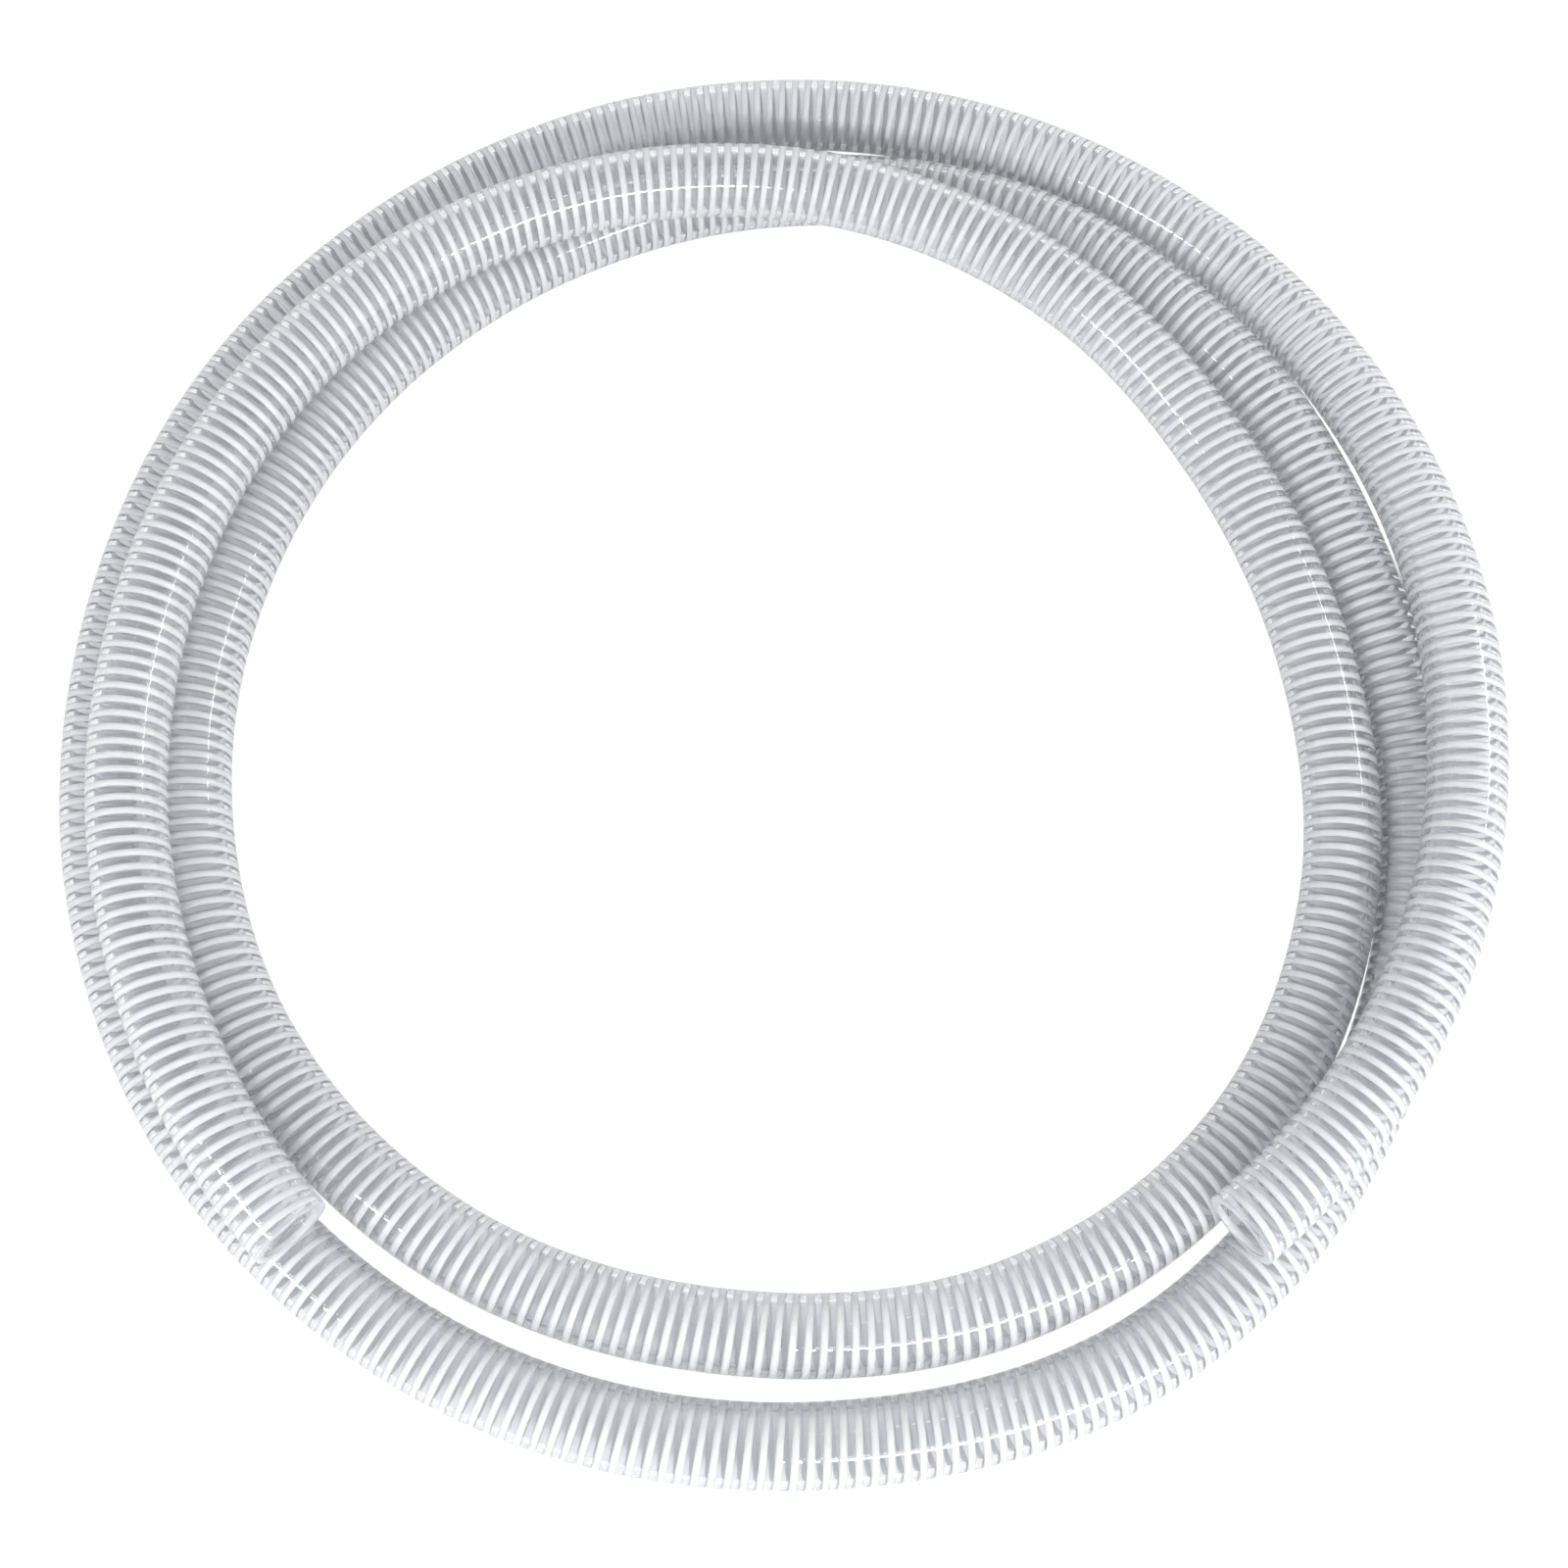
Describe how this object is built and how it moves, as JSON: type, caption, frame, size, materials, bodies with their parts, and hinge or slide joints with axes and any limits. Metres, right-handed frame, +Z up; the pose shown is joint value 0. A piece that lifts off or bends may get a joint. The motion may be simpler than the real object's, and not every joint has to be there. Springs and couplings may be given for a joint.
{
  "type": "vacuum hose",
  "caption": "Clear flexible suction and vacuum hose with a rigid white helix, smooth bore and plain cut ends, lying in a loose flat coil.",
  "frame": {"origin": "bottom centre of the coil's bounding box, on the floor that the coil lies on", "axes": "+Z up, the axis that the coil winds round and the shortest side; +X to the right and +Y to the back, with both cut ends at the front (-Y), end A at -X and end B at +X"},
  "size_m": [0.9083, 0.953, 0.0993],
  "materials": {
    "clear_flexible_plastic": "clear flexible PVC, glossy, faint blue-grey tint",
    "rigid_white_plastic": "rigid white PVC, satin"
  },
  "bodies": {
    "root": {"clear_wall": "clear_flexible_plastic", "rigid_helix": "rigid_white_plastic"}
  },
  "joints": []
}
